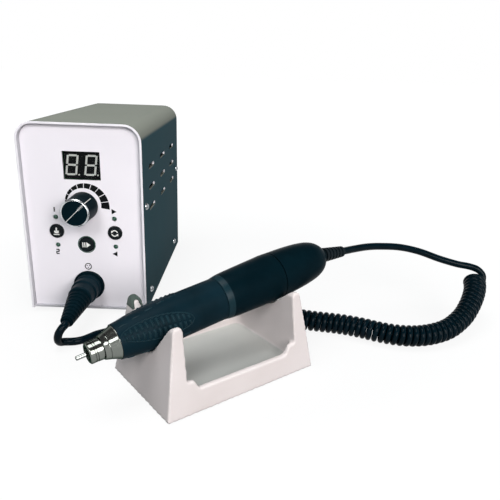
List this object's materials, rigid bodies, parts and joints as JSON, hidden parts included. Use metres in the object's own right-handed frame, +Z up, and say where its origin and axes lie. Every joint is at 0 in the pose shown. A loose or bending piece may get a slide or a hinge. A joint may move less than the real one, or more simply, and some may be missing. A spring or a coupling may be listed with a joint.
{
  "type": "dental micromotor set",
  "caption": "Micromotor set: upright control box with display, speed knob and keys, a motor handpiece lying in a moulded cradle, and the curly cord between them.",
  "frame": {"origin": "on the floor, under the middle of the control box", "axes": "+X to the right, +Y to the back of the control box, +Z up; the control box faces -Y"},
  "size_m": [0.3376, 0.2914, 0.137],
  "materials": {
    "cover_paint": "textured powder coat",
    "tray_steel": "plain coated steel sheet",
    "panel_paint": "smooth white coat",
    "rear_paint": "plain grey coat",
    "zinc_steel": "zinc plated",
    "foot_rubber": "moulded black rubber",
    "smoke_window": "smoked clear plastic",
    "display_case": "black moulded case",
    "board": "glass fibre board",
    "brass_post": "turned brass",
    "pot_case": "pressed case",
    "knob_plastic": "glossy black moulding",
    "pointer_white": "white inlay",
    "lamp_green": "tinted epoxy lens",
    "black_plastic": "glossy black moulding",
    "cord_rubber": "black cord sheath",
    "core_steel": "stacked sheets",
    "winding": "taped copper winding",
    "capacitor_sleeve": "shrunk sleeve",
    "sink_aluminium": "extruded",
    "cradle_plastic": "moulded ivory plastic",
    "cap_rubber": "dark moulded rubber",
    "nose_steel": "turned and polished",
    "grip_plastic": "satin black moulding",
    "motor_steel": "drawn tube",
    "holder_resin": "brown moulded resin",
    "carbon": "pressed carbon"
  },
  "bodies": {
    "base": {"top_cover": "cover_paint", "base_tray": "tray_steel", "front_panel": "panel_paint", "rear_panel": "rear_paint", "cover_screws": "zinc_steel", "rubber_feet": "foot_rubber", "display_window": "smoke_window", "display_module": "display_case", "main_board": "board", "board_posts": "brass_post", "board_screws": "zinc_steel", "speed_pot": "pot_case", "pot_nut": "zinc_steel", "indicator_lamps": "lamp_green", "key_switches": "black_plastic", "motor_socket": "black_plastic", "socket_nut": "zinc_steel", "socket_pins": "brass_post", "motor_plug": "cord_rubber", "plug_boot": "cord_rubber", "transformer_core": "core_steel", "transformer_winding": "winding", "power_board": "board", "capacitors": "capacitor_sleeve", "heat_sink": "sink_aluminium", "mains_inlet": "black_plastic", "inlet_pins": "zinc_steel", "inlet_screws": "zinc_steel", "rocker_frame": "black_plastic", "fuse_holder": "black_plastic", "foot_jack": "black_plastic", "jack_nut": "zinc_steel", "cradle": "cradle_plastic", "cradle_caps": "cap_rubber", "plug_lead": "cord_rubber", "curly_cord": "cord_rubber", "handpiece_lead": "cord_rubber"},
    "knob": {"speed_knob": "knob_plastic", "knob_pointer": "pointer_white", "pot_shaft": "zinc_steel"},
    "mode_key": {"mode_key": "knob_plastic"},
    "turn_key": {"turn_key": "knob_plastic"},
    "run_key": {"run_key": "knob_plastic"},
    "rocker": {"power_rocker": "black_plastic"},
    "handpiece": {"nose_cone": "nose_steel", "front_grip": "grip_plastic", "rear_cap": "grip_plastic", "motor_case": "motor_steel", "front_bearings": "nose_steel", "rear_bearing": "nose_steel", "magnets": "core_steel", "brush_holder": "holder_resin", "brushes": "carbon", "strain_relief": "cord_rubber"},
    "twist_ring": {"chuck_ring": "grip_plastic"},
    "spindle": {"spindle": "nose_steel", "rotor": "core_steel", "commutator": "winding"},
    "collet": {"collet": "nose_steel", "tool_shank": "nose_steel"}
  },
  "joints": [
    {"name": "knob_turn", "type": "hinge", "parent": "base", "child": "knob", "pos_m": [0, -0.077, 0.0805], "axis": [0, 1, 0], "range_deg": [-135, 45]},
    {"name": "mode_key_press", "type": "slide", "parent": "base", "child": "mode_key", "axis": [0, 1, 0], "range_m": [0, 0.0006], "stiffness_N_per_m": 600, "springref_m": -0.001},
    {"name": "turn_key_press", "type": "slide", "parent": "base", "child": "turn_key", "axis": [0, 1, 0], "range_m": [0, 0.0006], "stiffness_N_per_m": 600, "springref_m": -0.001},
    {"name": "run_key_press", "type": "slide", "parent": "base", "child": "run_key", "axis": [0, 1, 0], "range_m": [0, 0.0006], "stiffness_N_per_m": 600, "springref_m": -0.001},
    {"name": "rocker_tip", "type": "hinge", "parent": "base", "child": "rocker", "pos_m": [0.02, 0.076, 0.066], "axis": [1, 0, 0], "range_deg": [-18, 0]},
    {"name": "handpiece_lift", "type": "slide", "parent": "base", "child": "handpiece", "axis": [-0.1038, -0.082, 0.9912], "range_m": [0, 0.06]},
    {"name": "ring_twist", "type": "hinge", "parent": "handpiece", "child": "twist_ring", "pos_m": [0.05695, -0.1796, 0.0387], "axis": [0.7779, 0.6143, 0.1323], "range_deg": [0, 60]},
    {"name": "spindle_spin", "type": "hinge", "parent": "handpiece", "child": "spindle", "pos_m": [0.05695, -0.1796, 0.0387], "axis": [0.7779, 0.6143, 0.1323], "continuous": true},
    {"name": "collet_open", "type": "slide", "parent": "spindle", "child": "collet", "axis": [-0.7779, -0.6143, -0.1323], "range_m": [0, 0.0008001]}
  ],
  "couplings": [
    {"joint": "collet_open", "follows": "ring_twist", "m_per_rad": 0.00076394}
  ]
}
